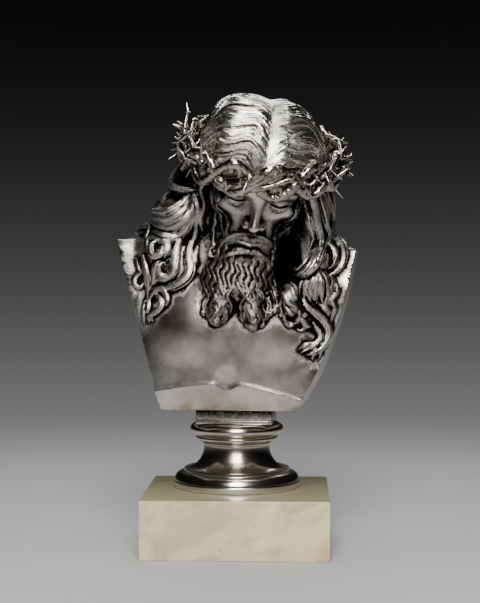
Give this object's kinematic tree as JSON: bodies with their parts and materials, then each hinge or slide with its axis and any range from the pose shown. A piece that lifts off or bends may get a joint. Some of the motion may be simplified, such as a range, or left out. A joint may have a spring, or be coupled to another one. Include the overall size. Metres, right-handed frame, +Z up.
{
  "type": "sculpted bust with a crown of thorns",
  "caption": "Silvered cast bust of a bowed, bearded head with long hair and a crown of thorns, on a turned socle and an onyx block.",
  "frame": {"origin": "middle of the onyx block's underside", "axes": "+Z up, the front of the block looks along -Y, +X to the right of someone who faces the bust"},
  "size_m": [0.2014, 0.1731, 0.3738],
  "materials": {
    "onyx": "polished, cream and pale green with slanting veins",
    "polished_silver": "silvered, turned and polished, with yellow-brown tarnish at the foot",
    "cast_silver": "silvered cast bronze, satin, with dark patina in the hollows",
    "dark_silver": "silvered cast bronze, darker patina, rubbed bright on the thorns"
  },
  "bodies": {
    "root": {"onyx_block": "onyx", "turned_socle": "polished_silver", "bust": "cast_silver", "crown_of_thorns": "dark_silver"}
  },
  "joints": []
}
